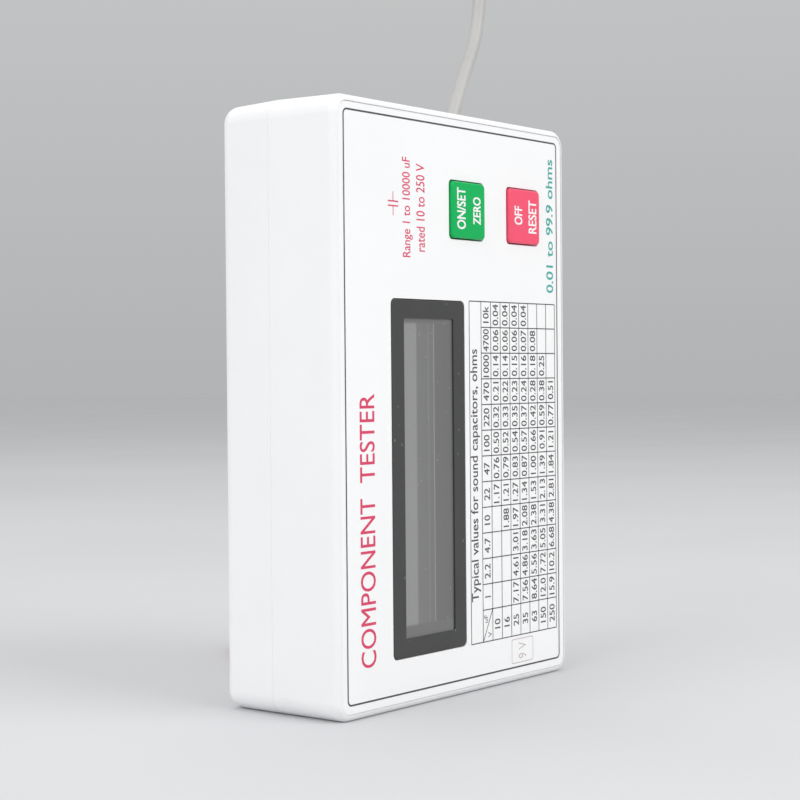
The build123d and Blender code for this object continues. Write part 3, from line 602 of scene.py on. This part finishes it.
class Print:
    """Flat printed shapes at one depth, gathered into one mesh. Places are panel millimetres."""

    def __init__(self, depth):
        self.depth = depth
        self.vertices = []
        self.faces = []

    def shape(self, outline):
        """One face from a list of (x, z) that runs round it as the viewer sees it, anticlockwise."""
        first = len(self.vertices)
        self.vertices += [(panel_x + x * MM, self.depth, panel_z + z * MM) for x, z in outline]
        self.faces.append(tuple(range(first, first + len(outline))))

    def box(self, x0, z0, x1, z1):
        self.shape([(x0, z0), (x1, z0), (x1, z1), (x0, z1)])

    def across(self, x0, x1, z, width):
        """A line along x."""
        self.box(x0, z - width / 2, x1, z + width / 2)

    def upright(self, x, z0, z1, width):
        """A line along z."""
        self.box(x - width / 2, z0, x + width / 2, z1)

    def slanted(self, x0, z0, x1, z1, width):
        """A line between any two places."""
        run = Vector((x1 - x0, z1 - z0))
        off = Vector((-run.y, run.x)).normalized() * width / 2
        low = [(x0 - off.x, z0 - off.y), (x1 - off.x, z1 - off.y)]
        high = [(x1 + off.x, z1 + off.y), (x0 + off.x, z0 + off.y)]
        self.shape(low + high)

    def frame(self, x0, z0, x1, z1, radius, width, steps=6):
        """A rounded rectangle's outline."""
        corners = [(x1, z0, -90), (x1, z1, 0), (x0, z1, 90), (x0, z0, 180)]
        outer, inner = [], []
        for x, z, start in corners:
            centre_x = x - radius if x == x1 else x + radius
            centre_z = z - radius if z == z1 else z + radius
            for step in range(steps + 1):
                turn = radians(start + 90 * step / steps)
                for ring_points, reach in ((outer, radius + width / 2), (inner, radius - width / 2)):
                    ring_points.append((centre_x + reach * cos(turn), centre_z + reach * sin(turn)))
        for index in range(len(outer)):
            after = (index + 1) % len(outer)
            self.shape([inner[index], outer[index], outer[after], inner[after]])

    def words(self, text, x0, x1, z0, z1=None, bold=0.0, stretch=1.0):
        """Words that read upward, letters' tops to -X, fitted to the box, or with z0 as their middle.

        bold prints the words again that far along and above, each time a little nearer to the panel.
        """
        curve = bpy.data.curves.new("words", "FONT")
        curve.body = text
        curve.resolution_u = 4
        holder = link("words", curve)
        depsgraph = bpy.context.evaluated_depsgraph_get()
        letters = bpy.data.meshes.new_from_object(holder.evaluated_get(depsgraph))
        along = [vertex.co.x for vertex in letters.vertices]
        above = [vertex.co.y for vertex in letters.vertices]
        left, length = min(along), max(along) - min(along)
        bottom, height = min(above), max(above) - min(above)
        if z1 is None:
            reach = min(length / height * (x1 - x0) * stretch, LONGEST_CENTRED)
            z0, z1 = z0 - reach / 2, z0 + reach / 2
        prints = [(0.0, 0.0)] + ([(bold, 0.0), (bold, bold), (0.0, bold)] if bold else [])
        for layer, (shift_x, shift_z) in enumerate(prints):
            first = len(self.vertices)
            for vertex in letters.vertices:
                z = z0 + shift_z + (vertex.co.x - left) / length * (z1 - z0 - bold)
                x = x1 - shift_x - (vertex.co.y - bottom) / height * (x1 - x0 - bold)
                depth = self.depth + layer * LAYER_STEP
                self.vertices.append((panel_x + x * MM, depth, panel_z + z * MM))
            self.faces += [tuple(first + index for index in face.vertices) for face in letters.polygons]
        bpy.data.objects.remove(holder)
        bpy.data.curves.remove(curve)
        bpy.data.meshes.remove(letters)

    def piece(self, name, material, body):
        """The gathered shapes as one mesh that rides on a body."""
        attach(mesh_piece(name, self.vertices, self.faces, material), body)


panel_depth = overlay_low.y - INK_LIFT
grey_print = Print(panel_depth)
grey_print.frame(0.0, 0.0, BORDER_SIZE[0], BORDER_SIZE[1], BORDER_RADIUS, BORDER_LINE)

# the table of typical values
TABLE_LINE = 0.22
TITLE_LEFT = 40.2
HEADER_LEFT = 44.4
ROW_PITCH = 3.487
TABLE_LOW = 6.81
FIRST_COLUMN_HIGH = 13.51
COLUMN_PITCH = 5.387
CAPACITIES = [1, 2.2, 4.7, 10, 22, 47, 100, 220, 470, 1000, 4700, 10000]
VOLTAGES = [10, 16, 25, 35, 63, 150, 250]
FIRST_FILLED = {10: 22, 16: 10}
LAST_FILLED = {63: 4700, 150: 1000, 250: 470}
# The power law of the table's values, in ohms, uF and volts.
LAW_START = 6.2
LAW_POWER = 0.56
LAW_VOLTAGE = 160
table_high = FIRST_COLUMN_HIGH + COLUMN_PITCH * len(CAPACITIES)
table_right = HEADER_LEFT + ROW_PITCH * (len(VOLTAGES) + 1)


def typical_value(capacity, voltage):
    """A plain power law for the resistance of a capacitor in good order, in ohms."""
    return LAW_START / capacity**LAW_POWER * (1 + voltage / LAW_VOLTAGE)


def cell_text(number):
    """A value with three figures, or fewer below 1."""
    return f"{number:.1f}" if number >= 10 else f"{number:.2f}"


grey_print.upright(TITLE_LEFT, TABLE_LOW, table_high, TABLE_LINE)
for line in range(len(VOLTAGES) + 2):
    grey_print.upright(HEADER_LEFT + ROW_PITCH * line, TABLE_LOW, table_high, TABLE_LINE)
grey_print.across(TITLE_LEFT, table_right, TABLE_LOW, TABLE_LINE)
grey_print.across(TITLE_LEFT, table_right, table_high, TABLE_LINE)
for line in range(len(CAPACITIES)):
    grey_print.across(HEADER_LEFT, table_right, FIRST_COLUMN_HIGH + COLUMN_PITCH * line, TABLE_LINE)
grey_print.slanted(HEADER_LEFT, TABLE_LOW, HEADER_LEFT + ROW_PITCH, FIRST_COLUMN_HIGH, TABLE_LINE)
grey_print.words("Typical values for sound capacitors, ohms", 40.4, 43.7, 15.6, 68.2, bold=0.06)
grey_print.words("V", HEADER_LEFT + 1.8, HEADER_LEFT + 3.1, 8.2)
grey_print.words("uF", HEADER_LEFT + 0.4, HEADER_LEFT + 1.7, 11.6)

DIGIT_HIGH = 2.05
DIGIT_STRETCH = 0.92
DIGIT_BOLD = 0.05
CELL_INSET = 0.72


def table_words(text, row, cell_low, cell_high):
    """Text in the middle of one cell. Row 0 is the header."""
    x0 = HEADER_LEFT + ROW_PITCH * row + CELL_INSET
    middle = (cell_low + cell_high) / 2
    grey_print.words(text, x0, x0 + DIGIT_HIGH, middle, bold=DIGIT_BOLD, stretch=DIGIT_STRETCH)


for column, capacity in enumerate(CAPACITIES):
    cell_low = FIRST_COLUMN_HIGH + COLUMN_PITCH * column
    cell_high = cell_low + COLUMN_PITCH
    table_words("10k" if capacity == 10000 else f"{capacity:g}", 0, cell_low, cell_high)
    for row, voltage in enumerate(VOLTAGES, start=1):
        if FIRST_FILLED.get(voltage, 0) <= capacity <= LAST_FILLED.get(voltage, capacity):
            table_words(cell_text(typical_value(capacity, voltage)), row, cell_low, cell_high)
for row, voltage in enumerate(VOLTAGES, start=1):
    table_words(f"{voltage}", row, TABLE_LOW, FIRST_COLUMN_HIGH)
grey_print.piece("print_grey", inks["grey"], "tester")

# Each line of words as (text, x0, x1, z0, z1, bold).
ROSE_WORDS = [
    ("COMPONENT  TESTER", 4.1, 8.7, 6.5, 59.4, 0.05),
    ("Range 1 to 10000 uF", 18.0, 21.3, 86.3, 106.1, 0.04),
    ("rated 10 to 250 V", 22.5, 25.3, 87.6, 105.1, 0.04),
]
TEAL_WORDS = [("0.01 to 99.9 ohms", 69.2, 71.9, 80.7, 110.0, 0.1)]
# A capacitor symbol: the ends of its two plates, and the heights of its two wires.
PLATE_ENDS = (13.4, 16.7)
PLATE_HEIGHTS = (96.2, 97.1)
PLATE_LINE = 0.28
WIRE_HEIGHTS = [(94.3, 96.2), (97.1, 99.0)]
WIRE_LINE = 0.22

rose_print = Print(panel_depth)
for words in ROSE_WORDS:
    rose_print.words(*words)
for z in PLATE_HEIGHTS:
    rose_print.across(*PLATE_ENDS, z, PLATE_LINE)
for z0, z1 in WIRE_HEIGHTS:
    rose_print.upright(sum(PLATE_ENDS) / 2, z0, z1, WIRE_LINE)
rose_print.piece("print_rose", inks["rose"], "tester")

teal_print = Print(panel_depth)
for words in TEAL_WORDS:
    teal_print.words(*words)
teal_print.piece("print_teal", inks["teal"], "tester")

pale_print = Print(panel_depth)
pale_print.frame(54.9, 0.9, 62.9, 6.0, 0.4, 0.2)
pale_print.words("9 V", 57.4, 60.4, 1.7, 5.2)
pale_print.piece("print_pale", inks["pale"], "tester")

# ---------------------------------------------------------------- key labels
KEY_BOLD = 0.12
KEY_WORDS = {
    "green": [("ON/SET", 35.4, 38.4, 92.8, 101.3), ("ZERO", 41.0, 43.7, 94.0, 99.7)],
    "red": [("OFF", 56.1, 59.1, 94.9, 98.9), ("RESET", 61.4, 64.5, 93.3, 100.4)],
}
for colour, lines in KEY_WORDS.items():
    label = Print(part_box(f"{colour}_button")[0].y - INK_LIFT)
    for words in lines:
        label.words(*words, KEY_BOLD)
    label.piece(f"label_{colour}_key", inks["white"], f"{colour}_key")

# ---------------------------------------------------------------- floor and light
FLOOR_REACH = 4.0
floor_shader = Shader("floor_pale")
floor_tones = [(0.3, linear(203, 204, 206)), (0.7, linear(207, 208, 210))]
floor_shader.colour(floor_shader.ramp(floor_shader.noise(6.0, 4.0), floor_tones))
floor_shader.roughness(floor_shader.noise(30.0), 0.75, 0.85)
floor = mesh_piece(
    "floor",
    [
        (x * FLOOR_REACH, y * FLOOR_REACH, cad_low.z)
        for x, y in ((-1, -1), (1, -1), (1, 1), (-1, 1))
    ],
    [(0, 1, 2, 3)],
    floor_shader.material,
)

# The studio's grey from the horizon to the height where it is white, and its strength.
HORIZON = (0.62, 0.63, 0.64, 1.0)
ZENITH = (1.0, 1.0, 1.0, 1.0)
ZENITH_FROM = 0.6
SKY_STRENGTH = 0.72
world = bpy.data.worlds.new("studio")
world.use_nodes = True
scene.world = world
sky_nodes = world.node_tree.nodes
sky_links = world.node_tree.links
direction = sky_nodes.new("ShaderNodeTexCoord")
sky_split = sky_nodes.new("ShaderNodeSeparateXYZ")
sky_ramp = sky_nodes.new("ShaderNodeValToRGB")
sky_links.new(direction.outputs["Generated"], sky_split.inputs["Vector"])
sky_links.new(sky_split.outputs["Z"], sky_ramp.inputs["Fac"])
for element, position, tone in zip(sky_ramp.color_ramp.elements, (0.0, ZENITH_FROM), (HORIZON, ZENITH)):
    element.position = position
    element.color = tone
sky_links.new(sky_ramp.outputs["Color"], sky_nodes["Background"].inputs["Color"])
sky_nodes["Background"].inputs["Strength"].default_value = SKY_STRENGTH


def area_light(name, place, aim, size, power):
    """A soft square light that faces a point."""
    lamp = link(name, bpy.data.lights.new(name, "AREA"))
    lamp.data.size = size
    lamp.data.energy = power
    lamp.location = place
    lamp.rotation_mode = "QUATERNION"
    lamp.rotation_quaternion = (Vector(aim) - Vector(place)).to_track_quat("-Z", "Y")


TARGET = (0.0, 0.0, 0.06)
area_light("key_light", (0.15, -1.0, 0.75), TARGET, 0.8, 6.2)
area_light("side_light", (-1.0, 0.1, 0.6), TARGET, 0.8, 4.9)
area_light("top_light", (0.1, 0.3, 1.2), TARGET, 0.9, 3.0)
scene.view_settings.view_transform = "Standard"
